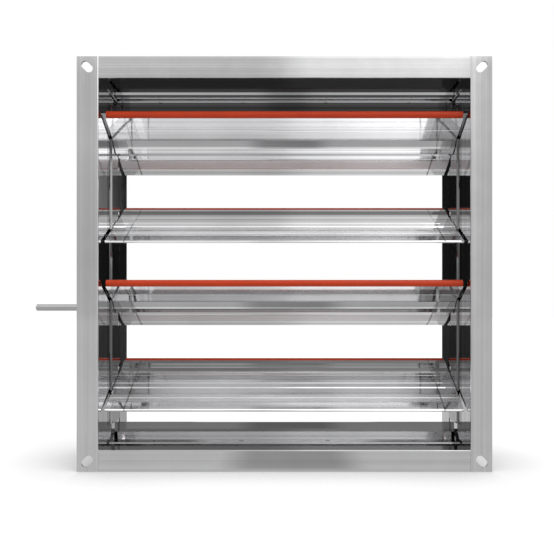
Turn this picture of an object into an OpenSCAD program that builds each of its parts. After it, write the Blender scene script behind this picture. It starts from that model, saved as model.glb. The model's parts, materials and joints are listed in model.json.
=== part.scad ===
// Multi-blade duct damper: a square frame of channel extrusions with four hollow blades.
// Neighbouring blades turn opposite ways, geared together at their left ends.
// X runs across the duct, Y along the air path and Z up.
// The origin is the duct axis, in the plane of the front flange.

/* [Frame] */
// Clear width of the duct opening
opening_w = 430; // [300:5:700]
// Depth of the frame along the air path
frame_depth = 125; // [124:1:150]
// Height of the flanges round the opening
flange_h = 25; // [25:1:40]
// Wall of the channel extrusions
channel_wall = 2; // [1.6:0.1:2.6]
// Free height above the top blade's pitch and below the bottom one's
end_margin = 15; // [14:1:30]
// Rounding of the channels' edges along the opening
edge_r = 1; // [0.4:0.1:1.6]
// Fillet between a channel's web and its flanges
web_fillet = 1.2; // [0.4:0.1:2]
// Width of the shallow recess down the middle of each web
recess_w = 55; // [48:1:60]
// Depth of that recess
recess_d = 0.6; // [0.3:0.1:0.8]

/* [Corner slots and screws] */
// Length of the slanted bolt slots in the flange corners
slot_len = 15; // [10:0.5:16]
// Width of the bolt slots
slot_w = 9; // [6:0.5:9]
// Distance of a slot's centre from the frame's outer edges
slot_inset = 12; // [11:0.5:12.5]
// Distance of the screw ports from the front and rear planes
port_inset = 14; // [12:1:18]
// Inner radius of the screw ports
port_r = 2; // [1.6:0.1:2.4]
// Wall of the screw ports
port_wall = 1.4; // [1:0.1:2]
// Metal between a web and the bore of its screw ports
port_seat = 0.9; // [0.6:0.1:1.4]
// Radius of the corner screws' heads
screw_head_r = 4; // [3.4:0.1:4.4]
// Height of the corner screws' heads
screw_head_h = 2.4; // [2:0.1:3]
// Length of the corner screws under the head
corner_screw_len = 16; // [10:1:25]

/* [Blades] */
// Distance between neighbouring blade axes
blade_pitch = 100; // [92:1:102]
// How far two closed blades' edges pass each other
edge_lap = 7; // [4:0.5:8]
// How far the seal reaches past the middle of the chord
chord_shift = 2.4; // [1.8:0.2:2.6]
// Angle of the blades at rest, from fully open
rest_tilt = 30; // [5:1:60]
// Gap between a blade's end and the side wall
end_gap = 2.4; // [2.2:0.1:5]
// Wall of the blade extrusion
blade_skin = 1.3; // [1:0.1:1.4]
// Thickness of the hollow plate on both sides of the hub
plate_t = 4.4; // [4:0.1:5]
// Half the width of the hub's flat underside
hub_half_w = 4.6; // [4.5:0.1:6]
// Width of the hub's slanted flanks
hub_flank = 8.6; // [5:0.1:9]
// Height of the raised band over the hub
band_h = 1.2; // [0.6:0.1:1.5]
// Half the width of that band
band_half_w = 8; // [6:0.5:10]
// Thickness of the tail lip
lip_t = 3.2; // [2.4:0.1:3.4]
// Length of the tail lip
lip_len = 9; // [8.5:0.1:10]
// Length of the slope between the tail lip and the plate
lip_slope = 1.2; // [0.8:0.1:2]
// Side step of both edges from the blade's axis
edge_step = 3.2; // [3.1:0.1:3.6]
// Depth of the fine grooves along the faces
face_groove = 0.5; // [0.3:0.1:0.6]

/* [Blade seals] */
// Outer radius of the hollow seal bulb
bulb_r = 4; // [3.4:0.1:4.1]
// Wall of the bulb
bulb_wall = 1.3; // [0.8:0.1:1.6]
// How far the bulb's centre stands out of the blade's head
bulb_stand = 2; // [1.6:0.1:2.4]
// Distance of a seal's ends from the blade's ends
seal_inset = 1.5; // [0:0.5:3]
// Half the thickness of the blade's seal head
head_half_t = 3; // [2.8:0.1:3.2]
// Length of the seal head
head_len = 7; // [6.5:0.1:9]
// Length of the slope between the plate and the seal head
head_slope = 9; // [4:0.5:12]
// Length of the seal's neck
neck_len = 2; // [1.6:0.1:2.4]
// Width of the seal's neck
neck_w = 1.6; // [1.2:0.1:2]
// Width of the seal's foot behind the neck
foot_w = 3.2; // [2.6:0.1:3.4]
// Length of the seal's foot
foot_len = 1.6; // [1.2:0.1:2]

/* [Stops and side seals] */
// Sheet of the stops
stop_t = 1.6; // [1:0.1:2]
// Height of the top stop in the opening
top_stop_h = 14.5; // [12:0.5:16]
// Height of the bottom stop in the opening
bottom_stop_h = 21; // [19:0.5:21.5]
// Width of the stops' foot on the web
stop_foot = 16; // [14:1:17]
// Bevel between the top stop's foot and face
top_bevel = 2; // [2:0.5:4]
// Bevel between the bottom stop's foot and face
bottom_bevel = 8; // [5:0.5:8.5]
// Gap at the stops' ends
stop_end_gap = 1.5; // [0.5:0.1:3]
// Running gap between closed edges
close_gap = 0.3; // [0.2:0.05:0.5]
// Gap between the side seal strips and the edges of their recess
strip_edge_gap = 0.5; // [0.3:0.1:1]
// Sheet of the side seal strips
strip_t = 0.6; // [0.4:0.1:0.8]
// Width of the strips' raised middle
strip_top_w = 26; // [22:1:28]
// Width of the slopes beside it
strip_slope = 2; // [1:0.5:3]
// Height of a strip's rivets above or below the blade axis beside them
strip_rivet_rise = 21; // [16:1:26]
// Gap between a strip and the blade ends
strip_gap = 0.6; // [0.3:0.1:1]

/* [Shafts and bushes] */
// Radius of the journals and the drive shaft
shaft_r = 4; // [3.5:0.1:4.2]
// Length of the journals' square shank in the blade
shank_len = 45; // [20:1:80]
// Distance across the flats of that shank
shank_w = 6; // [5.8:0.1:6.2]
// How far the drive shaft stands out of the left side
shaft_reach = 72; // [30:1:150]
// Chamfer at the shaft ends
shaft_chamfer = 0.8; // [0.4:0.1:1.5]
// Radial running clearance of the journals in their bushes
run_clear = 0.05; // [0.02:0.01:0.1]
// Outer radius of the bushes
bush_r = 7; // [6.5:0.1:8]
// Radius of the bushes' flange
bush_flange_r = 11; // [9:0.5:12]
// Thickness of the bushes' flange
bush_flange_t = 2; // [1.5:0.1:2.5]
// Axial play beside the bushes
side_play = 0.4; // [0.2:0.1:0.6]
// Depth of the rings' groove in a journal
ring_groove = 0.9; // [0.6:0.1:1.1]
// Length of a journal beyond its ring
journal_tip = 1.4; // [1:0.1:2]
// Outer radius of the retaining rings
ring_r = 7; // [6:0.1:8]
// Thickness of the retaining rings
ring_t = 0.9; // [0.7:0.1:1.2]

/* [Gears] */
// Teeth of each gear
gear_teeth = 20; // [20:2:28]
// Width of the toothed rim
rim_w = 8; // [6:0.5:9]
// Offset of the rim from the hub's inner end
rim_offset = 2; // [1:0.5:3]
// Length of the gear hub
gear_hub_len = 17; // [15:0.5:17.5]
// Radius of the gear hub
gear_hub_r = 11; // [9:0.5:13]
// Thickness of the gear's disc
disc_t = 4; // [3:0.5:6]
// Thickness of the rim under the teeth
rim_t = 5; // [4:0.5:7]
// Play between meshing teeth, on the pitch circle
backlash = 0.3; // [0.2:0.05:0.5]
// Round windows in the gear's disc
window_count = 5; // [3:1:6]
// Radius of the windows
window_r = 8.5; // [5:0.5:10]
// Radius of the gear's set screw
set_screw_r = 2; // [1.5:0.1:2.5]
// Depth of the set screw's outer end in the hub
set_screw_sink = 1; // [0.5:0.1:1.5]
// Depth of its hexagon socket
socket_depth = 2; // [1.5:0.1:2.5]

/* [Rivets] */
// Rivets along each stop
stop_rivet_count = 4; // [2:1:8]
// Radius of the rivet shanks
rivet_r = 1.6; // [1.2:0.1:2]
// Radius of the rivet heads
rivet_head_r = 2.7; // [2.2:0.1:2.8]
// Height of the rivet heads
rivet_head_h = 1.1; // [0.8:0.1:1.3]

/* [Hidden] */
$fn = 48;

BLADES = 4;
DRIVEN = 3;
opening_h = BLADES * blade_pitch + 2 * end_margin;
half_w = opening_w / 2;
half_h = opening_h / 2;
outer_w = opening_w + 2 * flange_h;
outer_h = opening_h + 2 * flange_h;
mid_y = frame_depth / 2;
fit_gap = 0.05;
seat_gap = 0.1;
hole_gap = 0.3;
weld = 0.2;
cut = 1;

seal_reach = (blade_pitch + edge_lap) / 2 + chord_shift;
tail_reach = (blade_pitch + edge_lap) / 2 - chord_shift;
bulb_s = seal_reach - bulb_r;
head_end = bulb_s - bulb_stand;
head_start = head_end - head_len;
tail_s = lip_t / 2 - tail_reach;
lip_end = lip_len - tail_reach;
plate_top = edge_step + lip_t / 2;
plate_bottom = plate_top - plate_t;
hub_bottom = -(shank_w / 2 + seat_gap + blade_skin);
blade_half = half_w - end_gap;

port_b = channel_wall + port_r + port_seat;
web_out = half_w + channel_wall;
bush_in = half_w - end_gap + side_play;
bush_out = web_out + bush_flange_t;
gear_in = bush_out + side_play;
gear_out = gear_in + gear_hub_len;
drive_ring_x = gear_out + fit_gap;
idle_ring_x = bush_out + side_play;
ring_groove_r = shaft_r - ring_groove;
idle_end = idle_ring_x + ring_t + journal_tip;
drive_end = drive_ring_x + ring_t + journal_tip;
shaft_end = half_w + flange_h + shaft_reach;

top_stop_y = mid_y + edge_step + bulb_r + close_gap;
bottom_stop_y = mid_y - edge_step + lip_t / 2 + close_gap;
strip_top_x = blade_half + strip_gap;
strip_half = recess_w / 2 - strip_edge_gap;
strip_rivet_y = mid_y + (strip_half + strip_top_w / 2 + strip_slope) / 2;

// Places of the fine grooves on the under and upper face, as shares of the way to the head
under_grooves = [0.6, -0.39];
upper_grooves = [0.35, -0.56];

function axis_z(i) = ((BLADES + 1) / 2 - i) * blade_pitch;
// Blades 1 and 3 carry their seal edge towards the front, 2 and 4 towards the rear
function turned(i) = i % 2 == 1;

// Corner rounded by an arc of n steps about a centre, from angle a0 to a1
function arc(c, r, a0, a1, n = 4) =
    [for (k = [0 : n]) let (a = a0 + (a1 - a0) * k / n) c + r * [cos(a), sin(a)]];

module on_axis(i) {
    translate([0, mid_y, axis_z(i)]) children();
}

// Shapes are drawn fully open, seal edge to the rear
module blade_place(i) {
    on_axis(i) rotate([0, 0, turned(i) ? 180 : 0]) rotate([rest_tilt, 0, 0]) children();
}

module shaft_place(i) {
    on_axis(i) rotate([turned(i) ? -rest_tilt : rest_tilt, 0, 0]) children();
}

module rod_x(x0, x1, r) {
    translate([x0, 0, 0]) rotate([0, 90, 0]) cylinder(r = r, h = x1 - x0);
}

module extrude_x(length) {
    rotate([90, 0, 90]) linear_extrude(height = length, center = true) children();
}

// Channel section: first axis along the depth, second outwards from the opening
module channel_section() {
    d = frame_depth;
    w = channel_wall;
    h = flange_h;
    f = web_fillet;
    difference() {
        polygon(concat(
            arc([edge_r, edge_r], edge_r, 180, 270),
            arc([d - edge_r, edge_r], edge_r, 270, 360),
            [[d, h], [d - w, h]],
            arc([d - w - f, w + f], f, 0, -90),
            arc([w + f, w + f], f, -90, -180),
            [[w, h], [0, h]]
        ));
        translate([mid_y - recess_w / 2, -cut]) square([recess_w, cut + recess_d]);
    }
}

// C-shaped ports that take the corner screws
module screw_ports() {
    for (y = [port_inset, frame_depth - port_inset])
        translate([y, port_b]) difference() {
            union() {
                circle(r = port_r + port_wall);
                translate([-port_wall, channel_wall - port_b]) square([2 * port_wall, port_b - channel_wall]);
            }
            circle(r = port_r);
            translate([-port_r / 2, 0]) square([port_r, port_r + port_wall + cut]);
        }
}

// Slanted slots through both flanges at the two ends of a side channel
module corner_slots() {
    for (end = [-1, 1], y = [-cut, frame_depth - channel_wall - cut])
        translate([-(outer_w / 2 - slot_inset), y, end * (outer_h / 2 - slot_inset)])
            rotate([0, end * 45, 0]) rotate([-90, 0, 0]) {
                flat = slot_len - slot_w;
                for (s = [-1, 1])
                    translate([s * flat / 2, 0, 0]) cylinder(d = slot_w, h = channel_wall + 2 * cut);
                translate([-flat / 2, -slot_w / 2, 0]) cube([flat, slot_w, channel_wall + 2 * cut]);
            }
}

module corner_screw_places() {
    for (z = [-1, 1], y = [port_inset, frame_depth - port_inset])
        translate([0, y, z * (half_h + port_b)]) children();
}

module side_channel() {
    color("#b4b5b6") difference() {
        translate([-half_w, 0, 0]) rotate([0, 0, 90])
            linear_extrude(height = outer_h, center = true) channel_section();
        corner_slots();
        for (i = [1 : BLADES])
            on_axis(i) rod_x(-web_out - cut, -half_w + cut, bush_r + fit_gap);
        corner_screw_places() rod_x(-web_out - cut, -half_w + cut, port_r + hole_gap);
        side_rivet_places() rod_x(-web_out - cut, -half_w + cut, rivet_r + fit_gap);
    }
}

module left_channel() {
    side_channel();
}

module right_channel() {
    mirror([1, 0, 0]) side_channel();
}

module stop_rivet_places(face_y, bevel) {
    span = opening_w - 2 * stop_end_gap;
    for (k = [1 : stop_rivet_count])
        translate([span * ((k - 0.5) / stop_rivet_count - 0.5), face_y - bevel - stop_foot / 2, 0])
            children();
}

// Top or bottom channel, drawn as the top one
module cross_channel(stop_y, bevel) {
    color("#c2c3c5") difference() {
        translate([0, 0, half_h]) extrude_x(opening_w) {
            channel_section();
            screw_ports();
        }
        stop_rivet_places(stop_y, bevel)
            translate([0, 0, half_h - cut]) cylinder(r = rivet_r + fit_gap, h = channel_wall + 2 * cut);
    }
}

module top_channel() {
    cross_channel(top_stop_y, top_bevel);
}

module bottom_channel() {
    mirror([0, 0, 1]) cross_channel(bottom_stop_y, bottom_bevel);
}

// Folded stop with its foot in the web's recess, drawn under the top channel
module stop(face_y, h, b) {
    t = stop_t;
    depth = h + recess_d;
    color("#a9aaac") difference() {
        translate([0, 0, half_h + recess_d]) mirror([0, 0, 1]) extrude_x(opening_w - 2 * stop_end_gap)
            polygon([
                [face_y - b - stop_foot, 0], [face_y - b + t / 2, 0], [face_y + t, b + t / 2],
                [face_y + t, depth], [face_y, depth], [face_y, b + t], [face_y - b, t],
                [face_y - b - stop_foot, t]
            ]);
        stop_rivet_places(face_y, b)
            translate([0, 0, half_h + recess_d - t]) sunk_hole(t);
    }
}

module top_stop() {
    stop(top_stop_y, top_stop_h, top_bevel);
}

module bottom_stop() {
    mirror([0, 0, 1]) stop(bottom_stop_y, bottom_stop_h, bottom_bevel);
}

// Blind rivet along +Z: its head at z = 0, domed or sunk flush, with the sheets and the set tail above
module rivet(grip, flush = false) {
    r = rivet_r;
    R = rivet_head_r;
    h = rivet_head_h;
    head = flush
        ? [[0, 0], [R, 0], [r, R - r]]
        : [[0, -h], [R * 0.55, -h], [R * 0.9, -h * 0.6], [R, 0], [r, 0]];
    rotate_extrude() polygon(concat(head, [
        [r, grip], [r * 1.5, grip], [r * 1.5, grip + r], [0, grip + r * 1.3]
    ]));
}

// Countersunk hole from z = 0 up through a sheet
module sunk_hole(sheet) {
    r = rivet_r + fit_gap;
    R = rivet_head_r + fit_gap;
    rotate_extrude() polygon([[0, -cut], [R + cut, -cut], [r, R - r], [r, sheet + cut], [0, sheet + cut]]);
}

module stop_rivets() {
    color("#8f9092") {
        stop_rivet_places(top_stop_y, top_bevel)
            translate([0, 0, half_h + recess_d - stop_t]) rivet(stop_t + channel_wall - recess_d, true);
        mirror([0, 0, 1]) stop_rivet_places(bottom_stop_y, bottom_bevel)
            translate([0, 0, half_h + recess_d - stop_t]) rivet(stop_t + channel_wall - recess_d, true);
    }
}

// Places of the side strips' rivets on the left wall, in the rear foot behind each blade's edge
module side_rivet_places() {
    for (i = [1 : BLADES])
        translate([0, strip_rivet_y, axis_z(i) + (turned(i) ? -1 : 1) * strip_rivet_rise]) children();
}

module side_seal() {
    t = strip_t;
    rise = half_w + recess_d - strip_top_x;
    a = strip_half;
    b = strip_top_w / 2;
    s = strip_slope;
    z0 = -half_h + bottom_stop_h + close_gap;
    z1 = half_h - top_stop_h - close_gap;
    color("#7d7e80") difference() {
        translate([-half_w - recess_d, mid_y, z0]) linear_extrude(height = z1 - z0)
            polygon([
                [0, -a], [t, -a], [t, -b - s], [rise, -b], [rise, b], [t, b + s], [t, a], [0, a],
                [0, b + s - t / 2], [rise - t, b - t / 2], [rise - t, t / 2 - b], [0, t / 2 - b - s]
            ]);
        for (i = [1 : BLADES])
            on_axis(i) rod_x(-half_w - recess_d - cut, -strip_top_x + cut, bush_r + hole_gap);
        side_rivet_places() rod_x(-half_w - recess_d - cut, -strip_top_x + cut, rivet_r + fit_gap);
    }
}

module left_side_seal() {
    side_seal();
}

module right_side_seal() {
    mirror([1, 0, 0]) side_seal();
}

module side_seal_rivets() {
    color("#8f9092") for (m = [0, 1])
        mirror([m, 0, 0]) side_rivet_places()
            translate([-half_w - recess_d + strip_t, 0, 0]) rotate([0, -90, 0])
                rivet(strip_t + channel_wall - recess_d);
}

// The blade section: first axis from the tail to the seal, second towards the blade's upper side
module blade_section() {
    channel = shank_w / 2 + seat_gap;
    foot_s = bulb_s - bulb_r - neck_len - foot_len;
    groove = face_groove * sqrt(2);
    difference() {
        polygon(concat(
            arc([tail_s, edge_step], lip_t / 2, 90, 270, 6),
            [
                [lip_end, edge_step - lip_t / 2], [lip_end + lip_slope, plate_bottom],
                [-hub_half_w - hub_flank, plate_bottom], [-hub_half_w, hub_bottom],
                [hub_half_w, hub_bottom], [hub_half_w + hub_flank, plate_bottom],
                [head_start, edge_step - head_half_t], [head_end, edge_step - head_half_t],
                [head_end, edge_step + head_half_t], [head_start, edge_step + head_half_t],
                [head_start - head_slope, plate_top], [band_half_w + band_h, plate_top],
                [band_half_w, plate_top + band_h], [-band_half_w, plate_top + band_h],
                [-band_half_w - band_h, plate_top]
            ]
        ));
        plate_hollow(hub_half_w + hub_flank, head_start - blade_skin);
        plate_hollow(lip_end + lip_slope + blade_skin, -hub_half_w - hub_flank);
        translate([-channel, -channel]) square(2 * channel);
        translate([bulb_s, edge_step]) circle(r = bulb_r + seat_gap);
        translate([foot_s - seat_gap, edge_step - foot_w / 2 - seat_gap])
            square([foot_len + 2 * seat_gap, foot_w + 2 * seat_gap]);
        translate([foot_s + foot_len - cut, edge_step - neck_w / 2 - seat_gap])
            square([neck_len + 2 * cut, neck_w + 2 * seat_gap]);
        for (g = under_grooves)
            translate([g * head_end, plate_bottom]) rotate(45) square(groove, center = true);
        for (g = upper_grooves)
            translate([g * head_end, plate_top]) rotate(45) square(groove, center = true);
        translate([0, plate_top + band_h]) rotate(45) square(groove, center = true);
    }
}

// Hollow of the plate between two stations
module plate_hollow(s0, s1) {
    r = plate_t / 2 - blade_skin;
    m = plate_top - plate_t / 2;
    polygon(concat(arc([s0 + r, m], r, 90, 270), arc([s1 - r, m], r, -90, 90)));
}

module blade(i) {
    color("#cfd0d2") blade_place(i) extrude_x(2 * blade_half) blade_section();
}

module blade_seal(i) {
    color("#b0351c") blade_place(i) extrude_x(2 * (blade_half - seal_inset))
        translate([bulb_s, edge_step]) difference() {
            union() {
                circle(r = bulb_r);
                translate([-bulb_r - neck_len - weld, -neck_w / 2]) square([neck_len + 2 * weld, neck_w]);
                translate([-bulb_r - neck_len - foot_len, -foot_w / 2]) square([foot_len, foot_w]);
            }
            circle(r = bulb_r - bulb_wall);
        }
}

// Journal along -X: a square shank in the blade, then a round part with a ring groove
module journal(ring_x, end_x) {
    difference() {
        union() {
            translate([-blade_half, 0, 0]) intersection() {
                translate([0, -shank_w / 2, -shank_w / 2]) cube([shank_len, shank_w, shank_w]);
                translate([-cut, 0, 0]) rotate([0, 90, 0]) cylinder(r = shaft_r, h = shank_len + 2 * cut);
            }
            rotate([0, -90, 0]) rotate_extrude() polygon([
                [0, blade_half], [shaft_r, blade_half], [shaft_r, end_x - shaft_chamfer],
                [shaft_r - shaft_chamfer, end_x], [0, end_x]
            ]);
        }
        translate([-ring_x - ring_t - fit_gap, 0, 0]) rotate([0, 90, 0]) difference() {
            cylinder(r = shaft_r + cut, h = ring_t + 2 * fit_gap);
            cylinder(r = ring_groove_r, h = ring_t + 2 * fit_gap);
        }
    }
}

module drive_journal(i) {
    color("#8c8d90") shaft_place(i) journal(drive_ring_x, i == DRIVEN ? shaft_end : drive_end);
}

module idle_journal(i) {
    color("#8c8d90") shaft_place(i) mirror([1, 0, 0]) journal(idle_ring_x, idle_end);
}

// Flanged bush on the left wall
module bush() {
    color("#e4e2da") rotate([0, -90, 0]) rotate_extrude() polygon([
        [shaft_r + run_clear, bush_in], [bush_r, bush_in], [bush_r, web_out],
        [bush_flange_r, web_out], [bush_flange_r, bush_out], [shaft_r + run_clear, bush_out]
    ]);
}

module left_bush(i) {
    on_axis(i) bush();
}

module right_bush(i) {
    on_axis(i) mirror([1, 0, 0]) bush();
}

gear_r = blade_pitch / 2;
gear_module = blade_pitch / gear_teeth;
gear_tip_r = gear_r + gear_module;
gear_root_r = gear_r - 1.25 * gear_module;
pressure_angle = 20;
base_r = gear_r * cos(pressure_angle);
flank_steps = 5;

// Involute function of an angle, in degrees
function inv(a) = tan(a) * 180 / PI - a;
// Half the tooth's angle at a radius, in degrees
function half_tooth(r) =
    90 / gear_teeth - backlash / gear_r * 45 / PI + inv(pressure_angle) - inv(acos(min(1, base_r / r)));
function polar(r, a) = [r * cos(a), r * sin(a)];
flank_radii = [for (k = [0 : flank_steps]) base_r + (gear_tip_r - base_r) * k / flank_steps];

function tooth(a) = concat(
    [polar(gear_root_r, a - half_tooth(base_r))],
    [for (r = flank_radii) polar(r, a - half_tooth(r))],
    [for (k = [flank_steps : -1 : 0]) polar(flank_radii[k], a + half_tooth(flank_radii[k]))],
    [polar(gear_root_r, a + half_tooth(base_r))]
);

module gear(i) {
    phase = turned(i) ? 0 : 180 / gear_teeth;
    rim_in = gear_root_r - rim_t;
    side = (rim_w - disc_t) / 2;
    rim_x = gear_in + rim_offset;
    window_at = (rim_in + gear_hub_r) / 2;
    screw_x = (rim_x + rim_w + gear_out) / 2;
    color("#2f3134") on_axis(i) rotate([0, -90, 0]) difference() {
        union() {
            translate([0, 0, rim_x]) difference() {
                linear_extrude(height = rim_w)
                    polygon([for (k = [0 : gear_teeth - 1]) each tooth(phase + k * 360 / gear_teeth)]);
                for (z = [-cut, rim_w - side])
                    translate([0, 0, z]) cylinder(r = rim_in, h = side + cut);
                for (k = [0 : window_count - 1])
                    rotate(k * 360 / window_count) translate([window_at, 0, 0])
                        cylinder(r = window_r, h = rim_w);
            }
            translate([0, 0, gear_in]) cylinder(r = gear_hub_r, h = gear_hub_len);
        }
        translate([0, 0, gear_in - cut]) cylinder(r = shaft_r + fit_gap, h = gear_hub_len + 2 * cut);
        translate([0, 0, screw_x]) rotate([0, 90, 0])
            cylinder(r = set_screw_r + fit_gap, h = gear_hub_r + cut);
    }
}

module gear_set_screw(i) {
    screw_x = (gear_in + rim_offset + rim_w + gear_out) / 2;
    color("#4a4c50") on_axis(i) rotate([0, -90, 0]) translate([0, 0, screw_x]) rotate([0, 90, 0])
        difference() {
            top = gear_hub_r - set_screw_sink;
            translate([0, 0, shaft_r + fit_gap]) cylinder(r = set_screw_r, h = top - shaft_r - fit_gap);
            translate([0, 0, top - socket_depth])
                cylinder(r = set_screw_r * 0.55, h = socket_depth + cut, $fn = 6);
        }
}

// Open ring in a journal's groove, starting at x and reaching outwards on the left
module ring(x) {
    translate([-x - ring_t, 0, 0]) rotate([0, 90, 0]) difference() {
        cylinder(r = ring_r, h = ring_t);
        translate([0, 0, -cut]) cylinder(r = ring_groove_r + fit_gap, h = ring_t + 2 * cut);
        mouth = ring_groove_r * 1.7;
        translate([0, -mouth / 2, -cut]) cube([ring_r + cut, mouth, ring_t + 2 * cut]);
        eye_r = (ring_r - ring_groove_r) / 4;
        for (a = [110, 250])
            rotate(a) translate([ring_groove_r + 2 * eye_r, 0, -cut])
                cylinder(r = eye_r, h = ring_t + 2 * cut);
    }
}

module retaining_rings(i) {
    color("#9c9da0") shaft_place(i) {
        ring(drive_ring_x);
        mirror([1, 0, 0]) ring(idle_ring_x);
    }
}

// Pan-head screw along +X with its head left of x = 0
module pan_screw(len) {
    r = port_r - fit_gap;
    R = screw_head_r;
    h = screw_head_h;
    cross = [R * 0.9, R * 0.18, h * 0.5 + cut];
    rotate([0, 90, 0]) difference() {
        rotate_extrude() polygon([
            [0, -h], [R * 0.6, -h], [R * 0.9, -h * 0.7], [R, -h * 0.33], [R, 0], [r, 0],
            [r, len - r * 0.75], [r * 0.3, len], [0, len]
        ]);
        for (a = [0, 90])
            rotate(a) translate([-cross[0] / 2, -cross[1] / 2, -h - cut]) cube(cross);
    }
}

module corner_screws() {
    color("#9fa0a3") for (m = [0, 1])
        mirror([m, 0, 0]) corner_screw_places() translate([-web_out, 0, 0]) pan_screw(corner_screw_len);
}

left_channel();
right_channel();
top_channel();
bottom_channel();
top_stop();
bottom_stop();
left_side_seal();
right_side_seal();
blade(1);  // blade_1
blade(2);  // blade_2
blade(3);  // blade_3
blade(4);  // blade_4
blade_seal(1);  // blade_seal_1
blade_seal(2);  // blade_seal_2
blade_seal(3);  // blade_seal_3
blade_seal(4);  // blade_seal_4
drive_journal(1);  // drive_journal_1
drive_journal(2);  // drive_journal_2
drive_journal(3);  // drive_shaft
drive_journal(4);  // drive_journal_4
idle_journal(1);  // idle_journal_1
idle_journal(2);  // idle_journal_2
idle_journal(3);  // idle_journal_3
idle_journal(4);  // idle_journal_4
left_bush(1);  // left_bush_1
left_bush(2);  // left_bush_2
left_bush(3);  // left_bush_3
left_bush(4);  // left_bush_4
right_bush(1);  // right_bush_1
right_bush(2);  // right_bush_2
right_bush(3);  // right_bush_3
right_bush(4);  // right_bush_4
gear(1);  // gear_1
gear(2);  // gear_2
gear(3);  // gear_3
gear(4);  // gear_4
gear_set_screw(1);  // gear_set_screw_1
gear_set_screw(2);  // gear_set_screw_2
gear_set_screw(3);  // gear_set_screw_3
gear_set_screw(4);  // gear_set_screw_4
retaining_rings(1);  // retaining_rings_1
retaining_rings(2);  // retaining_rings_2
retaining_rings(3);  // retaining_rings_3
retaining_rings(4);  // retaining_rings_4
corner_screws();
stop_rivets();
side_seal_rivets();
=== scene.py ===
# %% [markdown]
# # A square duct damper, dressed for a studio photograph
#
# The real object is a frame of four mill-finish aluminium channels with four hollow aluminium blades, each
# with a silicone bulb along its upper edge. The solids come ready made from the CAD model, in metres: the
# airflow runs along Y, the blades along X, and the camera looks along +Y at the face that the air enters.
# This file gives the solids their finishes, swaps the plain corner screws for detailed ones, and sets the
# stage.

# %% Load the frame
import json
import math

import bpy
import numpy as np
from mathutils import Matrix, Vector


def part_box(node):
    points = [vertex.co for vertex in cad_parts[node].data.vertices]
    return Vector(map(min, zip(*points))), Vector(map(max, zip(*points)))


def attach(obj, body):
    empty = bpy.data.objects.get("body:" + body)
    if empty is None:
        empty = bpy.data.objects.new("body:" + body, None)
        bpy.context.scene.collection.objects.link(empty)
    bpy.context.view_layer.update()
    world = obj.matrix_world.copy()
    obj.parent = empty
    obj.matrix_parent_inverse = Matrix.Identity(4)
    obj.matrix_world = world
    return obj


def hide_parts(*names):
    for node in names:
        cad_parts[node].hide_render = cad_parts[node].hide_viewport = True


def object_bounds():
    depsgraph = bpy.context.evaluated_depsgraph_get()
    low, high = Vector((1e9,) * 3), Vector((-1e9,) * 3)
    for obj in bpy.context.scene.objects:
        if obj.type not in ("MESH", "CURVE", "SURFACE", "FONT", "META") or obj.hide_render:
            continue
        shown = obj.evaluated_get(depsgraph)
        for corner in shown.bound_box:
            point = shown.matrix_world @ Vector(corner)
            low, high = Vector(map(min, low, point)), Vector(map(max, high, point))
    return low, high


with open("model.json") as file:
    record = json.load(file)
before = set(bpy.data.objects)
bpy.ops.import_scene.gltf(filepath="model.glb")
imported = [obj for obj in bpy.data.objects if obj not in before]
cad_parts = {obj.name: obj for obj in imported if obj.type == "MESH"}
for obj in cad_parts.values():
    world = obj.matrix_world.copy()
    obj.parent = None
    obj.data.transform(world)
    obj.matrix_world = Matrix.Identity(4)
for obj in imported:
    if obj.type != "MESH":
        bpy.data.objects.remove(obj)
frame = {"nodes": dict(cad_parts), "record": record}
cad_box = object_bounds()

nodes = frame["nodes"]


# %% [markdown]
# ## The camera
#
# The picture is taken from close by, a little below the middle of the frame, with the lens kept level so
# that the uprights stay parallel. A level camera with a vertical shift does this, as the shift lens of an
# architect's camera does; tilting the camera instead would make the uprights lean. The distance comes from
# the perspective: how much smaller the far edge of the frame looks than the near one.

# %% Camera
IMAGE_SIDE = 554
CAMERA_PLACE = (-0.0003, -0.684, -0.0519)
FOCAL_PIXELS = 592.3
LEVEL_POINT = (284.2, 309.0)
SENSOR_MM = 36

eye = bpy.data.objects.new("camera", bpy.data.cameras.new("camera"))
bpy.context.scene.collection.objects.link(eye)
eye.location = CAMERA_PLACE
eye.rotation_euler = (math.pi / 2, 0, 0)
eye.data.sensor_width = SENSOR_MM
eye.data.lens = SENSOR_MM * FOCAL_PIXELS / IMAGE_SIDE
eye.data.shift_x = (IMAGE_SIDE / 2 - LEVEL_POINT[0]) / IMAGE_SIDE
eye.data.shift_y = (LEVEL_POINT[1] - IMAGE_SIDE / 2) / IMAGE_SIDE
bpy.context.scene.camera = eye
bpy.context.scene.view_settings.view_transform = "Standard"
print("camera", CAMERA_PLACE, "lens", round(eye.data.lens, 2), "shift", round(eye.data.shift_y, 4))


# %% [markdown]
# ## Writing finishes as sums
#
# A procedural finish is a small sum: brightness is some of this grain plus some of that cloud. Written as
# Math nodes such a sum is hard to read, so one class wraps a shader socket and turns + - * / into Math
# nodes, also where the number comes first, as in 1 - mask. It is the shader's version of an array.

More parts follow.
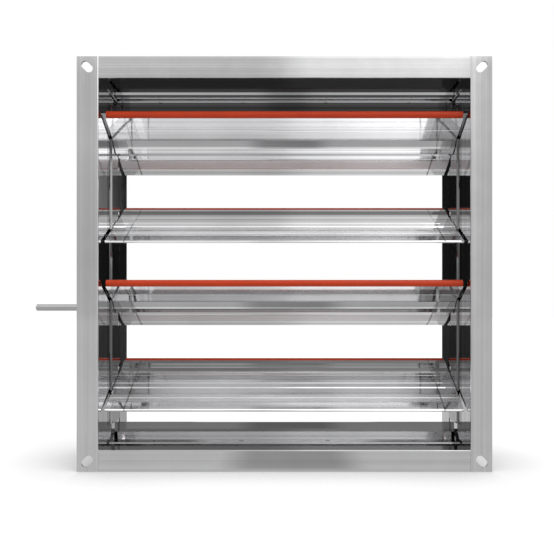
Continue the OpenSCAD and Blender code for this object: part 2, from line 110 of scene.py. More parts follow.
# %% Sockets that add up
class Flow:
    """The value of one output socket. Sums, differences, products and quotients add Math nodes."""

    def __init__(self, finish, socket):
        self.finish, self.socket = finish, socket

    def math(self, operation, *terms):
        sockets = dict(enumerate(terms))
        return self.finish.node("ShaderNodeMath", {"operation": operation}, sockets)[0]

    def __add__(self, other):
        return self.math("ADD", self, other)

    def __sub__(self, other):
        return self.math("SUBTRACT", self, other)

    def __rsub__(self, other):
        return self.math("SUBTRACT", other, self)

    def __mul__(self, other):
        return self.math("MULTIPLY", self, other)

    def __truediv__(self, other):
        return self.math("DIVIDE", self, other)

    def __rtruediv__(self, other):
        return self.math("DIVIDE", other, self)

    def __pow__(self, other):
        return self.math("POWER", self, other)

    __radd__, __rmul__ = __add__, __mul__

    def size(self):
        """The value without its sign."""
        return self.math("ABSOLUTE", self)

    def most(self, other):
        """The greater of the two."""
        return self.math("MAXIMUM", self, other)

    def step(self, start, end, low=0.0, high=1.0):
        """low before start, high after end, and a smooth curve between them."""
        sockets = {"Value": self, "From Min": start, "From Max": end, "To Min": low, "To Max": high}
        return self.finish.node("ShaderNodeMapRange", {"interpolation_type": "SMOOTHSTEP"}, sockets)[0]

    def fall(self, start, end):
        """The mirror image of a step: 1 before start, 0 after end."""
        return self.step(start, end, 1.0, 0.0)


print("Flow knows", [name for name in vars(Flow) if name != "__module__"])


# %% [markdown]
# ## One method for every node
#
# The node tree of a material can be built by hand in the Shading workspace, or in code with many lines for
# each node. Here a second class holds the tree of one finish, and a single method adds any kind of node:
# its settings first, because they can change which sockets the node has, and then its inputs.

# %% Node trees
class Outputs:
    """The outputs of a new node, by name or number, each as a Flow."""

    def __init__(self, finish, made):
        self.finish, self.made = finish, made

    def __getitem__(self, key):
        return Flow(self.finish, self.made.outputs[key])


class Finish:
    """The node tree of one material or of the world."""

    def __init__(self, holder):
        holder.use_nodes = True
        self.tree = holder.node_tree
        self.tree.nodes.clear()

    def node(self, kind, settings=None, sockets=None):
        """One node of this kind: its settings first, then the values or links of its sockets."""
        made = self.tree.nodes.new(kind)
        for name, value in (settings or {}).items():
            setattr(made, name, value)
        for key, value in (sockets or {}).items():
            if isinstance(value, Flow):
                self.tree.links.new(value.socket, made.inputs[key])
            else:
                made.inputs[key].default_value = value
        return Outputs(self, made)

    def axes(self, coordinate):
        """X, Y and Z of one of the Texture Coordinate node's outputs, such as Object or Normal."""
        vector = self.node("ShaderNodeTexCoord")[coordinate]
        return self.node("ShaderNodeSeparateXYZ", None, {0: vector})

    def colour(self, share, first, second):
        """The first colour where share is 0, the second where it is 1.

        The Mix node has a set of sockets for each kind of data. Its colours are inputs 6 and 7, output 2.
        """
        return self.node("ShaderNodeMix", {"data_type": "RGBA"}, {0: share, 6: first, 7: second})[2]

    def grain(self, scale, detail=3.0, roughness=0.5, shift=(0, 0, 0)):
        """Noise from 0 to 1 on Object coordinates, with so many blobs a metre along each of X, Y and Z."""
        place = self.node("ShaderNodeTexCoord")["Object"]
        moved = {"Vector": place, "Location": shift, "Scale": scale}
        placed = self.node("ShaderNodeMapping", None, moved)[0]
        sockets = {"Vector": placed, "Scale": 1.0, "Detail": detail, "Roughness": roughness}
        return self.node("ShaderNodeTexNoise", None, sockets)[0]


def stairs(value, first, steps, soft):
    """A sum of smooth steps: the level first, and from each place onwards that place's own level."""
    total, level = first, first
    for place, onward in steps:
        total = value.step(place - soft, place + soft) * (onward - level) + total
        level = onward
    return total


print("helpers for finishes:", [name for name in vars(Finish) if not name.startswith("_")], "and stairs")


# %% [markdown]
# ## The room
#
# Metal shows the room more than itself, so the room is designed first. Lamps and flags could stand round
# the object as real ones do, but they would show in the other views and bring noise. A world painted by
# direction gives the same reflections with neither.
#
# The blades and channels run along X, so a mirror image in them keeps two things of each ray: its tilt in
# the YZ plane is only turned by the slope of the face, and its lean towards X stays as it is. Tilt, in
# degrees, and lean, from -1 to 1, are therefore the two coordinates in which the room is painted.

# %% Directions in the room
LEAST_LENGTH = 0.001
FRONT_EDGE = (-0.06, 0.0)

room = bpy.data.worlds.new("studio")
bpy.context.scene.world = room
paint = Finish(room)
ahead = paint.axes("Generated")
east, north, up = ahead["X"], ahead["Y"], ahead["Z"]
tilt = up.math("ARCTAN2", up, north.size()) * math.degrees(1)
lean = east / ((north * north + up * up) ** 0.5).most(LEAST_LENGTH)
front = north.fall(*FRONT_EDGE)
print("the room is painted by tilt and lean;", len(paint.tree.nodes), "nodes so far")


# %% [markdown]
# ## The lamps behind the camera
#
# A bank of soft lamps hangs there. Its brightness changes with height in stairs, and it is stronger right
# of the middle, which is what the faces of the blades show. A strip at the far right lights only the high
# part. Each pair of the list is a tilt and the level from there on.

# %% Lamps
STAIR_SOFT = 2.0
LAMP_LEVEL = 0.78
LAMP_STAIRS = [(14, 0.88), (24, 1.8), (36, 1.2), (62, 2.1)]
RIGHT_OF_MIDDLE = (-0.03, 0.05)
LEFT_LAMPS, RIGHT_MORE = 0.85, 0.5
RIGHT_END, RIGHT_LOSS = (0.28, 0.32), 0.9
FAR_RIGHT, FAR_RIGHT_TILT, FAR_RIGHT_LEVEL = (0.235, 0.255), (22, 32), 1.1

on_the_right = lean.step(*RIGHT_OF_MIDDLE)
right_half = LEFT_LAMPS + RIGHT_MORE * on_the_right * (1.0 - RIGHT_LOSS * lean.step(*RIGHT_END))
far_right = FAR_RIGHT_LEVEL * lean.step(*FAR_RIGHT) * tilt.step(*FAR_RIGHT_TILT)
lamps = stairs(tilt, LAMP_LEVEL, LAMP_STAIRS, STAIR_SOFT) * (right_half + far_right)
print("lamps in", len(LAMP_STAIRS) + 1, "levels")


# %% [markdown]
# ## The back of the room
#
# Behind the object the room is bright low down and dim overhead. At both sides stand tall dark flags, black
# cloth that a studio uses to put dark edges into metal. They give the inner walls of the frame their black
# reflections, and the camera never sees them directly. The outer part of the right one is a little lighter
# from ten degrees up, as if some light came round its edge.

# %% Back and flags
BACK_LEVEL = 0.85
BACK_STAIRS = [(14, 1.5), (48, 0.66), (62, 0.3)]
BACK_LEFT, BACK_RIGHT_MORE = 0.9, 0.3
FLAG_START, FLAG_END, FLAG_TOP = (0.12, 0.16), (0.50, 0.65), (14, 30)
FLAG_TONE = 0.01
LEAK_TILT, LEAK_LEAN, LEAK_LEVEL = (7, 10), (0.280, 0.288), 0.2

aside = lean.size()
flags = aside.step(*FLAG_START) * (1.0 - aside.step(*FLAG_END))
flags = flags * (1.0 - tilt.step(*FLAG_TOP))
flag_light = FLAG_TONE + LEAK_LEVEL * tilt.step(*LEAK_TILT) * lean.step(*LEAK_LEAN)
back_sides = BACK_LEFT + BACK_RIGHT_MORE * on_the_right
back = stairs(tilt, BACK_LEVEL, BACK_STAIRS, STAIR_SOFT) * back_sides * (1.0 - flags)
seen_room = front * lamps + (1.0 - front) * (back + flags * flag_light)
print("back in", len(BACK_STAIRS) + 1, "levels, flags from lean", FLAG_START[1], "to", FLAG_END[0])


# %% [markdown]
# ## The white backdrop
#
# The backdrop is white for the camera. The Light Path node says which rays come straight from it, and their
# strength is set to 1, which is white, so no lamp has to burn the backdrop out. Mirrored and refracted rays
# see it too, but only in the middle and low down, where such a backdrop really hangs.

# %% Backdrop
BACKDROP_SIDE = (0.12, 0.16)
BACKDROP_TOP = (12, 20)
WHITE = (1, 1, 1, 1)

rays = paint.node("ShaderNodeLightPath")
backdrop = (1.0 - aside.step(*BACKDROP_SIDE)) * (1.0 - front) * (1.0 - tilt.step(*BACKDROP_TOP))
mirror = rays["Is Glossy Ray"].most(rays["Is Transmission Ray"]) * backdrop
white = rays["Is Camera Ray"].most(mirror)
strength = seen_room * (1.0 - white) + white
light = paint.node("ShaderNodeBackground", None, {"Color": WHITE, "Strength": strength})
paint.node("ShaderNodeOutputWorld", None, {"Surface": light[0]})
print("world with", len(paint.tree.nodes), "nodes")


# %% [markdown]
# ## The floor
#
# The damper stands on a white sweep whose edge can't be seen. A plane would do, but a disc has the same
# reach all round. Its rings grow wider outwards, so the faces near the object stay small.

# %% Floor surface
FLOOR_LEVEL = cad_box[0][2]
FLOOR_REACH = 12.0


def disc(radius, level, rings=24, spokes=64):
    """A flat disc: the radius grows as the square of the ring's number, and a fan closes the middle."""
    reach = radius * (np.arange(1, rings + 1) / rings) ** 2
    turn = np.linspace(0, 2 * math.pi, spokes, endpoint=False)
    grid_r, grid_t = np.meshgrid(reach, turn, indexing="ij")
    points = np.stack([grid_r * np.cos(grid_t), grid_r * np.sin(grid_t), np.full(grid_r.shape, level)], -1)
    points = np.vstack([[[0, 0, level]], points.reshape(-1, 3)])
    number = 1 + np.arange(rings * spokes).reshape(rings, spokes)
    onward = np.roll(number, -1, axis=1)
    quads = np.stack([number[:-1], number[1:], onward[1:], onward[:-1]], -1).reshape(-1, 4)
    middle = np.stack([np.zeros(spokes, int), number[0], onward[0]], -1)
    return points, quads.tolist() + middle.tolist()


points, faces = disc(FLOOR_REACH, FLOOR_LEVEL)
floor_mesh = bpy.data.meshes.new("floor")
floor_mesh.from_pydata(points.tolist(), [], faces)
floor = bpy.data.objects.new("floor", floor_mesh)
bpy.context.scene.collection.objects.link(floor)
print("floor at", round(FLOOR_LEVEL, 4), "with", len(faces), "faces")


# %% [markdown]
# ## What the floor is made of
#
# A sheet that is matt white for light and adds a little glow for the camera reads as pure white. The glow
# is dimmed by Ambient Occlusion, so the soft shadow under the frame stays.
#
# Metal sees the same sweep in greys: mid grey in front, with a painted shadow straight behind the frame that
# is darker on the left, and a painted dim patch in front where the camera's stand would shade it. Far
# behind, past where the camera looks, the room ends dark. The top channel's underside mirrors that end.

# %% Floor finish
SHADE_REACH = 0.14
SHADE_SAMPLES = 8
FLOOR_TONE = (0.16, 0.16, 0.16, 1)
FLOOR_GLOW = 0.85
MIRRORED_TONE = 0.74
SHADOW_EDGE, SHADOW_LEFT, SHADOW_RIGHT_LESS = (0.08, 0.17), 0.24, 0.22
SHADOW_MIDDLE = (-0.03, 0.06)
STAND_X, STAND_HALF, STAND_EDGE, STAND_SHADE = 0.01, (0.045, 0.10), (-0.02, 0.0), 0.3
ROOM_END, ROOM_END_SIDE, ROOM_WIDENS, ROOM_END_DARK = (0.45, 0.90), (0.25, 0.5), 0.3, 0.95

sweep = bpy.data.materials.new("white_sweep")
paint = Finish(sweep)
rays = paint.node("ShaderNodeLightPath")
mirrored = rays["Is Glossy Ray"].most(rays["Is Transmission Ray"])
place = paint.axes("Object")
room_end = place["Y"].step(*ROOM_END)
room_end = room_end * (1.0 - (place["X"].size() - ROOM_WIDENS * place["Y"]).step(*ROOM_END_SIDE))
# painted shadows on the sweep as metal sees it: a band behind the frame, deeper on the left, and a dim patch
# in front where the camera's stand would shade it
shadow_depth = SHADOW_LEFT - SHADOW_RIGHT_LESS * place["X"].step(*SHADOW_MIDDLE)
painted_frame_shadow = place["Y"].step(*SHADOW_EDGE) * shadow_depth
stand = STAND_SHADE * (place["X"] - STAND_X).size().fall(*STAND_HALF) * place["Y"].fall(*STAND_EDGE)
occlusion = paint.node("ShaderNodeAmbientOcclusion", {"samples": SHADE_SAMPLES}, {"Distance": SHADE_REACH})
matt = paint.node("ShaderNodeBsdfDiffuse", None, {"Color": FLOOR_TONE})
glow = paint.node("ShaderNodeEmission", None, {"Color": occlusion["Color"], "Strength": FLOOR_GLOW})
both = paint.node("ShaderNodeAddShader", None, {0: matt[0], 1: glow[0]})
grey_level = (MIRRORED_TONE - painted_frame_shadow - stand) * (1.0 - room_end * ROOM_END_DARK)
greyer = paint.node("ShaderNodeEmission", None, {"Color": WHITE, "Strength": grey_level})
shown = paint.node("ShaderNodeMixShader", None, {0: mirrored, 1: both[0], 2: greyer[0]})
paint.node("ShaderNodeOutputMaterial", None, {"Surface": shown[0]})
floor_mesh.materials.append(sweep)
print("floor finish with", len(paint.tree.nodes), "nodes")


# %% [markdown]
# ## Mill-finish aluminium
#
# The channels and blades are extruded: the metal is pushed through a steel die, which leaves fine straight
# lines along its length and soft stripes where the die is worn. A picture of brushed metal would be the
# quick way, but it repeats and has no direction of its own. Here the lines are noise stretched about a
# thousand times along the length. They tilt the surface a little, so that a lamp's reflection spreads across
# the lines, and they vary its roughness and tone. Wide soft patches of lighter and darker tone across the
# length are painted reflections of soft lamps, and small scuffs come from handling.

# %% Aluminium recipe
LINES = {"per_metre": 1400, "lengthwise": 1.2, "detail": 2.0}
STRIPES = {"per_metre": 160, "lengthwise": 0.8, "detail": 3.0}
PATCHES = {"per_metre": 1.5, "lengthwise": 9.0, "detail": 2.0, "roughness": 0.45}
SCUFFS = {"per_metre": 45, "lengthwise": 45, "detail": 5.0, "roughness": 0.65}
LINE_TONE, STRIPE_TONE, SCUFF_TONE = 0.55, 0.8, 0.25
SCUFF_SHINE, STRIPE_SHINE = 0.08, 0.06
STRIPE_HEIGHT, SCUFF_HEIGHT = 2.5, 0.4
LINE_DEPTH = 0.00001
BLUER = 1.01
SHADE_METAL = 0.02


def principled(paint, sockets):
    """The main shader with these sockets, linked to the material's output."""
    made = paint.node("ShaderNodeBsdfPrincipled", None, sockets)
    paint.node("ShaderNodeOutputMaterial", None, {"Surface": made[0]})


def grey(level):
    """A grey with a trace more blue, as aluminium and zinc have."""
    return (level, level, level * BLUER, 1)


def lined_metal(name, along, tones, roughness, depth=LINE_DEPTH, patch=0.5, shift=0.0, shade_and_wear=None):
    """Metal drawn out along X or Z. Its tone runs from dark to light with the sum of the four noises.

    The last argument, where given, takes the finish and answers with the share of light that the surface
    keeps under painted shade and marks, and with the roughness that it gains.
    """
    material = bpy.data.materials.new(name)
    paint = Finish(material)

    def stretched(per_metre, lengthwise, **more):
        """One of the four noises, with its own count of blobs lengthwise."""
        scale = [per_metre] * 3
        scale["XYZ".index(along)] = lengthwise
        return paint.grain(tuple(scale), shift=(shift, shift * 2, shift * 3), **more)

    lines, stripes = stretched(**LINES), stretched(**STRIPES)
    patches, scuffs = stretched(**PATCHES), stretched(**SCUFFS)
    tone = 0.5 + (lines - 0.5) * LINE_TONE + (stripes - 0.5) * STRIPE_TONE
    # the patches are painted reflections of soft lamps; the scuffs are real handling marks
    tone = tone + (patches - 0.5) * patch + (scuffs - 0.5) * SCUFF_TONE
    shine = roughness + (scuffs - 0.5) * SCUFF_SHINE + (stripes - 0.5) * STRIPE_SHINE
    height = lines + stripes * STRIPE_HEIGHT + scuffs * SCUFF_HEIGHT
    bump = paint.node("ShaderNodeBump", None, {"Strength": 1.0, "Distance": depth, "Height": height})
    metal = paint.colour(tone, grey(tones[0]), grey(tones[1]))
    # painted shade, and on the blades also pressed marks, darkens the metal towards a near-black grey
    if shade_and_wear:
        kept, dulled = shade_and_wear(paint)
        metal = paint.colour(kept, grey(SHADE_METAL), metal)
        shine = shine + dulled
    principled(paint, {"Base Color": metal, "Metallic": 1.0, "Roughness": shine, "Normal": bump[0]})
    return material


print("aluminium recipe: lines", LINES["per_metre"], "and stripes", STRIPES["per_metre"], "a metre")


# %% [markdown]
# ## Channels, stops and side strips
#
# All four channels have the same finish, run along their own length. The stops are folded sheet, a brighter
# tone than the channels. Their free face, against which the outer blades shut, and their folded corner carry
# painted shade. The side strips are darker spring sheet with two slopes along their middle, which carry
# painted shade. These marks could be painted on in a texture; here they are smooth steps of the Object
# coordinates, which stay sharp at any distance.

# %% Channel, stop and strip finishes
CHANNEL_TONES = (0.43, 0.71)
UPPER_EDGE, UPPER_SOFT, UPPER_SHADE = 0.2109, 0.0004, 0.9
LOWER_EDGE, LOWER_SOFT, LOWER_SHADE = 0.2112, 0.0008, 0.75
MIDDLE_HEIGHT = 0.01
FLAT_FACE = (0.8, 0.95)
CHAMFER_FROM, CHAMFER_TO, CHAMFER_SHADE = (0.5, 0.6), (0.8, 0.9), 0.38
SLOPE_FROM, SLOPE_TO, SLOPE_SHADE = (0.0125, 0.0131), (0.0149, 0.0155), 0.6
FRAME_MIDDLE = (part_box("left_channel")[0][1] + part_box("left_channel")[1][1]) / 2


def shaded_faces(paint):
    """A stop keeps less light on its free face, which looks along Y, and on its corner, at 45 degrees."""
    sideways = paint.axes("Normal")["Y"].size()
    height = paint.axes("Object")["Z"]
    upper = height.fall(UPPER_EDGE, UPPER_EDGE + UPPER_SOFT) * height.step(0.0, MIDDLE_HEIGHT)
    lower = height.step(-LOWER_EDGE - LOWER_SOFT, -LOWER_EDGE) * height.fall(-MIDDLE_HEIGHT, 0.0)
    # painted shade: the free face and the folded corner of a stop are darkened
    free = sideways.step(*FLAT_FACE) * (UPPER_SHADE * upper + LOWER_SHADE * lower)
    chamfer = sideways.step(*CHAMFER_FROM) * sideways.fall(*CHAMFER_TO)
    return 1.0 - free - CHAMFER_SHADE * chamfer, 0.0


def shaded_slopes(paint):
    """A side strip's two slopes, which stand 13 to 15 mm from the middle of the frame, are painted in shade.
    """
    from_middle = (paint.axes("Object")["Y"] - FRAME_MIDDLE).size()
    # painted shade on the strip's two slopes
    return 1.0 - SLOPE_SHADE * from_middle.step(*SLOPE_FROM) * from_middle.fall(*SLOPE_TO), 0.0


channel_metal = lined_metal("channel_aluminium", "X", CHANNEL_TONES, 0.07)
upright_metal = lined_metal("upright_aluminium", "Z", CHANNEL_TONES, 0.06, shift=3.1)
stop_metal = lined_metal("stop_aluminium", "X", (0.66, 0.94), 0.09, shift=5.3, shade_and_wear=shaded_faces)
strip_metal = lined_metal("side_seal_steel", "Z", (0.26, 0.46), 0.08, shift=7.9, shade_and_wear=shaded_slopes)
print("finishes:", [metal.name for metal in (channel_metal, upright_metal, stop_metal, strip_metal)])


# %% [markdown]
# ## The blades' own pattern
#
# A blade leaves its die with a few deeper lines than the rest: where the hub's flanks meet the plate, and
# where the tail begins. Each is painted as one dark line of shade from end to end, and the stripes between
# them are painted lighter and darker, standing in for the reflections and shade of the profile's faces. The
# punch that seats the journals leaves a pressed line across the blade, near each end. Both patterns are
# drawn in the blade's own direction: the chord, from tail to seal.
#
# Neighbours face opposite ways, so a visitor sees the underside of the first and third blades and the top of
# the second and fourth. Each side has its own lines and painted shades. A pair is a place along the chord,
# in metres from the axis, and the light that a line takes or that a stripe keeps from there on.

# %% Blade pattern
# painted shade: the stripe levels stand in for reflections and shade on the blade's faces, and the dark
# lines are painted shade
UNDERSIDE = {
    "lines": [(0.0320, 0.30), (0.0022, 0.50), (-0.0210, 0.30), (-0.0355, 0.25)],
    "shades": [(-0.0470, 0.80), (-0.0410, 1.0), (-0.0350, 0.88), (-0.0200, 0.94), (-0.0130, 1.0),
               (-0.0045, 0.92), (0.0066, 0.52), (0.0142, 0.84), (0.0300, 0.85)]}
TOP_SIDE = {
    "lines": [(0.0078, 0.30), (-0.0193, 0.15), (-0.0455, 0.30)],
    "shades": [(-0.0440, 0.85), (-0.0360, 0.92), (-0.0240, 1.0), (0.0066, 0.80), (0.0160, 0.45),
               (0.0190, 0.90), (0.0275, 0.56)]}
SHADE_SOFT = 0.0004
LINE_HALF, LINE_FADE = 0.0003, 0.00075
PRESS_MARK_X, PRESS_HALF, PRESS_FADE = 0.190, 0.0005, 0.0015
PRESS_DEPTH, PRESS_MORE, PRESS_CHANGE = 0.18, 0.32, (-0.004, 0.004)
TAIL_FROM, TAIL_TO, TAIL_DULL = (-0.038, -0.034), (-0.024, -0.019), 0.3
SIDE_SEEN = (0.1, 0.2)
LEAST_KEPT = 0.1


def chord_of(node):
    """The direction of a blade's chord in the YZ plane: the long axis of its points, towards the seal."""
    mesh = nodes[node].data
    points = np.empty(len(mesh.vertices) * 3)
    mesh.vertices.foreach_get("co", points)
    section = points.reshape(-1, 3)[:, 1:]
    middle = (section.min(0) + section.max(0)) / 2
    values, directions = np.linalg.eigh(np.cov((section - middle).T))
    long_way = directions[:, np.argmax(values)]
    return long_way * np.sign(long_way[1])


def blade_shade_and_wear(node, axis_y, axis_z, pattern):
    """The painted shade and the wear of one blade, drawn on the side whose normal is the chord turned a
    quarter of a turn.
    """
    chord_y, chord_z = (float(part) for part in chord_of(node))

    def shade_and_wear(paint):
        place, normal = paint.axes("Object"), paint.axes("Normal")
        along = (place["Y"] - axis_y) * chord_y + (place["Z"] - axis_z) * chord_z
        side = (normal["Z"] * chord_y - normal["Y"] * chord_z).step(*SIDE_SEEN)
        # painted reflections and shade: stripe levels along the chord
        kept = stairs(along, 1.0, pattern["shades"], SHADE_SOFT) * side + (1.0 - side)
        for line, strength in pattern["lines"]:
            # painted shade: dark lines at the profile's breaks
            kept = kept - (along - line).size().step(LINE_HALF, LINE_FADE, strength, 0.0) * side
        press = (place["X"].size() - PRESS_MARK_X).size().fall(PRESS_HALF, PRESS_FADE)
        depth = PRESS_DEPTH + PRESS_MORE * along.fall(*PRESS_CHANGE)
        tail = along.step(*TAIL_FROM) * along.fall(*TAIL_TO)
        return (kept - press * depth * side).most(LEAST_KEPT), tail * side * TAIL_DULL

    return shade_and_wear


print("lines on a blade:", len(UNDERSIDE["lines"]), "below and", len(TOP_SIDE["lines"]), "above")


# %% [markdown]
# ## The blades' finish
#
# Each blade gets a material of its own, because its chord points its own way and because four blades cut
# from one bar still don't show the same stretch of grain. The joints of the CAD model say where each
# blade's axis is, so the pattern moves with the model and no place is typed twice.

# %% Blade finishes
BLADE_TONES = (0.70, 0.97)
BLADE_ROUGHNESS = 0.05
BLADE_PATCH = 1.3
BLADE_SHIFT = 1.7

axes_of = {joint["child"]: joint["pos_m"] for joint in frame["record"]["behaviour"]["joints"]}
blade_metals = {}
for number in (1, 2, 3, 4):
    blade, axis = f"blade_{number}", axes_of[f"blade_set_{number}"]
    pattern = UNDERSIDE if number % 2 else TOP_SIDE
    blade_metals[blade] = lined_metal(
        f"blade_aluminium_{number}", "X", BLADE_TONES, BLADE_ROUGHNESS, patch=BLADE_PATCH,
        shift=BLADE_SHIFT * number, shade_and_wear=blade_shade_and_wear(blade, axis[1], axis[2], pattern))
    print(blade, "has its chord along", chord_of(blade).round(3))


# %% [markdown]
# ## Silicone, steel and plastic
#
# The shaft and the journals are bright drawn bar. Drawing leaves lines along the length too, so they take
# the aluminium recipe with their own greys. The other pieces have no direction. The seals are soft
# red-orange silicone with a satin skin, the fasteners are zinc plated steel, slightly mottled, and the
# bushes and gears are glass-filled plastic, near black, with the fine orange-peel skin that a steel mould
# gives. Each could have a recipe of its own, but a fine skin over a wide cloud tells them all apart once
# the greys, the shine and the depth are theirs, so one function with round grains does them all.

# %% Other finishes
CLOUD_SIZE = 0.04
SKIN_TONE, CLOUD_TONE = 0.6, 0.4
CLOUD_SHINE, SKIN_SHINE = 0.2, 0.1
SKIN = {"detail": 4.0, "roughness": 0.6}
CLOUD_DETAIL = 2.0


def speckled(name, dark, light, roughness, metallic, per_metre, depth, gloss=0.5):
    """Tone follows a fine skin and a cloud 25 times as wide, and the bump follows the skin."""
    material = bpy.data.materials.new(name)
    paint = Finish(material)
    skin = paint.grain((per_metre,) * 3, **SKIN)
    cloud = paint.grain((per_metre * CLOUD_SIZE,) * 3, detail=CLOUD_DETAIL)
    bump = paint.node("ShaderNodeBump", None, {"Strength": 1.0, "Distance": depth, "Height": skin})
    principled(paint, {
        "Base Color": paint.colour(skin * SKIN_TONE + cloud * CLOUD_TONE, dark, light), "Metallic": metallic,
        "Roughness": roughness + (cloud - 0.5) * CLOUD_SHINE + (skin - 0.5) * SKIN_SHINE, "Normal": bump[0],
        "Specular IOR Level": gloss})
    return material


silicone_red, silicone_bright = (0.27, 0.015, 0.0006, 1), (0.48, 0.038, 0.002, 1)
silicone = speckled("silicone", silicone_red, silicone_bright, 0.34, 0.0, 900, 0.00003, 0.25)
shaft_steel = lined_metal("shaft_steel", "X", (0.30, 0.56), 0.11, 0.000004, shift=9.4)
fastener_steel = speckled("fastener_steel", grey(0.35), grey(0.62), 0.28, 1.0, 700, 0.00002)
dark_steel = speckled("dark_steel", grey(0.03), grey(0.07), 0.42, 0.9, 800, 0.00002)
ring_steel = speckled("ring_steel", grey(0.12), grey(0.25), 0.3, 1.0, 800, 0.00002)
bush_plastic = speckled("bush_plastic", grey(0.012), grey(0.03), 0.5, 0.0, 1200, 0.00003)
gear_plastic = speckled("gear_plastic", grey(0.015), grey(0.035), 0.45, 0.0, 1200, 0.00003)
print("materials in all:", len(bpy.data.materials))


# %% [markdown]
# ## Dressing the nodes
#
# A CAD node keeps its mesh, and only its material changes. Forty-seven assignments would be long and easy
# to get wrong, so a table gives each finish the starts of the names that wear it, and the first match wins.

# %% Which node wears which finish
WEARS = [((name,), metal) for name, metal in blade_metals.items()] + [
    (("left_channel", "right_channel"), upright_metal),
    (("top_channel", "bottom_channel"), channel_metal),
    (("top_stop", "bottom_stop"), stop_metal),
    (("left_side_seal", "right_side_seal"), strip_metal),
    (("blade_seal",), silicone),
    (("drive_journal", "drive_shaft", "idle_journal"), shaft_steel),
    (("left_bush", "right_bush"), bush_plastic),
    (("gear_set_screw",), dark_steel),
    (("gear",), gear_plastic),
    (("retaining_rings",), ring_steel),
    (("corner_screws", "stop_rivets", "side_seal_rivets"), fastener_steel),
]
for name, piece in nodes.items():
    finish = next(metal for starts, metal in WEARS if name.startswith(starts))
    if not piece.material_slots:
        piece.data.materials.append(finish)
    for slot in piece.material_slots:
        slot.material = finish
print("finishes given to", len(nodes), "nodes")


# %% [markdown]
# ## Pan-head screws
#
# Eight thread-forming screws hold the corners: a domed head with a cross recess, pressed by a punch, and a
# rolled thread on the shank. The CAD model has them as plain round solids, because a thread this fine only
# matters to the eye. Cutting the recess with a Boolean modifier would leave ragged facets, and a thread
# made with the Screw modifier would need joining to its head. Here each screw is one surface of rings about
# its axis, and the recess and the thread are only changes of depth and radius, so the grid stays clean.

# %% Screw surface
HEAD_RADIUS = 0.0040
HEAD_HEIGHT = 0.0024
DOME_DROP = 0.30
HEAD_RINGS = np.linspace(0.03, 1.0, 22)
SIDE_HEIGHTS = np.array([-0.55, -0.35, -0.12, 0.0])
SIDE_WIDTHS = np.array([1.0, 0.995, 0.975, 0.94])
RECESS_REACH, RECESS_DEPTH = 0.0022, 0.0013
RECESS_HALF, RECESS_WIDE, RECESS_NARROWS = 0.00042, 1.25, 0.4
WALL_SOFT, END_SOFT = 0.00005, 0.00006
SHANK_RADIUS = 0.0021
SHANK_LENGTH = 0.0160
SHANK_START, SHANK_RINGS = 0.0002, 100
THREAD_PITCH, THREAD_DEPTH = 0.0014, 0.00035
THREAD_START, THREAD_FADE = 0.001, 0.001
STEEPEST = 30
TIP_LENGTH, TIP_TAPER = 0.0015, 0.0008
SPOKES = 64


def inside(distance, soft):
    """1 well inside an edge, where distance is below 0, and 0 outside: one over one plus its exponential."""
    return 1.0 / (1.0 + np.exp(np.clip(distance / soft, -STEEPEST, STEEPEST)))


def rings_of(x, radius, angle):
    """Points of circles about X: one row for each x and radius, one column for each angle."""
    return np.stack([x * np.ones_like(angle), radius * np.cos(angle), radius * np.sin(angle)], -1)


def screw_points():
    """A screw along +X, its head's seat at x = 0 and its head at negative x.

    The head's top is a dome: its height falls with the square of the radius. The cross recess lowers it
    where the point is within the cross's half width of the Y or Z axis and inside the recess's reach. The
    thread is a ridge whose height is a cosine of the turn count: the distance along the axis in pitches,
    less the angle in whole turns. It fades in under the head and out at the tapered tip.
    """
    angle = np.linspace(0, 2 * math.pi, SPOKES, endpoint=False)
    reach = HEAD_RINGS[:, None] * HEAD_RADIUS * np.ones(SPOKES)
    off_cross = np.minimum(abs(reach * np.cos(angle)), abs(reach * np.sin(angle)))
    half_width = RECESS_HALF * (RECESS_WIDE - reach / RECESS_REACH * RECESS_NARROWS)
    recess = inside(off_cross - half_width, WALL_SOFT) * inside(reach - RECESS_REACH, END_SOFT)
    dome = HEAD_HEIGHT * (1.0 - DOME_DROP * (reach / HEAD_RADIUS) ** 2)
    top = rings_of(RECESS_DEPTH * recess - dome, reach, angle)
    side = rings_of(SIDE_HEIGHTS[:, None] * HEAD_HEIGHT, SIDE_WIDTHS[:, None] * HEAD_RADIUS, angle)
    along = np.linspace(SHANK_START, SHANK_LENGTH, SHANK_RINGS)[:, None]
    turns = along / THREAD_PITCH - angle / (2 * math.pi)
    fade = np.clip((along - THREAD_START) / THREAD_FADE, 0, 1)
    fade = fade * np.clip((SHANK_LENGTH - along) / TIP_LENGTH, 0, 1)
    radius = SHANK_RADIUS + THREAD_DEPTH * fade * (np.cos(2 * math.pi * turns) - 1) / 2
    radius = radius - TIP_TAPER * np.clip((along - SHANK_LENGTH + TIP_LENGTH) / TIP_LENGTH, 0, 1)
    rings = np.concatenate([top, side, rings_of(along, radius, angle)])
    first, last = [[RECESS_DEPTH - HEAD_HEIGHT, 0, 0]], [[SHANK_LENGTH, 0, 0]]
    return np.vstack([first, rings.reshape(-1, 3), last])


def tube_faces(rings):
    """Quads between neighbouring rings, and a fan from each end's point to the ring beside it."""
    number = 1 + np.arange(rings * SPOKES).reshape(rings, SPOKES)
    onward = np.roll(number, -1, axis=1)
    quads = np.stack([number[:-1], onward[:-1], onward[1:], number[1:]], -1).reshape(-1, 4)
    start = np.stack([np.zeros(SPOKES, int), onward[0], number[0]], -1)
    end = np.stack([np.full(SPOKES, rings * SPOKES + 1), number[-1], onward[-1]], -1)
    return quads.tolist() + start.tolist() + end.tolist()


screw = screw_points()
screw_faces = tube_faces(len(screw) // SPOKES)
print("one screw:", len(screw), "points,", len(screw_faces), "faces, length", round(np.ptp(screw[:, 0]), 4))


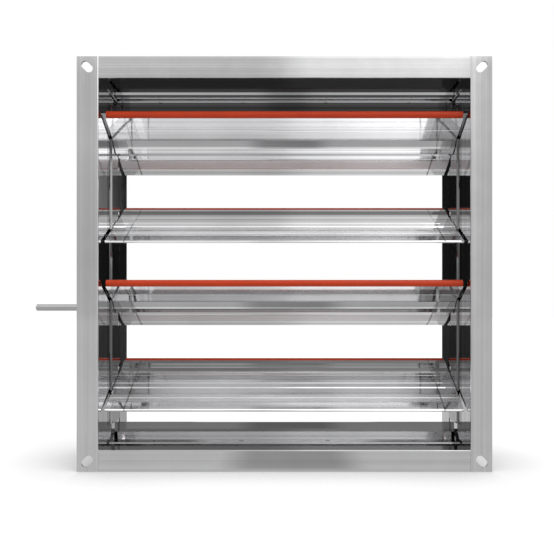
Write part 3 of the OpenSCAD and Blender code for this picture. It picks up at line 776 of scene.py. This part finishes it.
# %% [markdown]
# ## Where the screws go
#
# The CAD node holds all eight screws in one mesh of loose triangles. The detailed ones have to sit exactly
# there, so their places are measured from that mesh and not typed: triangles that share a corner belong to
# one solid, and each solid's box gives a screw's axis and the outer end of its head.

# %% Screws in place
def loose_boxes(node):
    """The lowest and highest corner of each separate solid of a node.

    Equal corners are merged, and each one starts with its own number. It then takes the lowest number in
    its triangles again and again, until every solid has a single number.
    """
    mesh = nodes[node].data
    points = np.empty(len(mesh.vertices) * 3)
    mesh.vertices.foreach_get("co", points)
    corners, number = np.unique(points.reshape(-1, 3).round(6), axis=0, return_inverse=True)
    triangles = np.empty(len(mesh.loops), int)
    mesh.loops.foreach_get("vertex_index", triangles)
    triangles = number.reshape(-1)[triangles].reshape(-1, 3)
    label, before = np.arange(len(corners)), None
    while before is None or (label != before).any():
        before = label.copy()
        lowest = label[triangles].min(1)
        for corner in range(3):
            np.minimum.at(label, triangles[:, corner], lowest)
        label = label[label]
    return [(corners[label == one].min(0), corners[label == one].max(0)) for one in np.unique(label)]


all_points, all_faces = [], []
for low, high in loose_boxes("corner_screws"):
    outward = 1 if low[0] + high[0] > 0 else -1
    seat = (high[0] if outward > 0 else low[0]) - outward * HEAD_HEIGHT
    place = [seat, (low[1] + high[1]) / 2, (low[2] + high[2]) / 2]
    first = len(all_points) * len(screw)
    all_points.append(screw * [-outward, 1, -outward] + place)
    all_faces += [[first + corner for corner in face] for face in screw_faces]
screw_mesh = bpy.data.meshes.new("corner_screws_detailed")
screw_mesh.from_pydata(np.vstack(all_points).tolist(), [], all_faces)
screw_mesh.polygons.foreach_set("use_smooth", [True] * len(screw_mesh.polygons))
screw_mesh.materials.append(fastener_steel)
screws = bpy.data.objects.new("corner_screws_detailed", screw_mesh)
bpy.context.scene.collection.objects.link(screws)
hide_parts("corner_screws")
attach(screws, "frame")
print("screws:", len(all_points), "with", len(all_faces), "faces")


# %% [markdown]
# ## Sizes and the end
#
# The box of the CAD model was kept at the start.
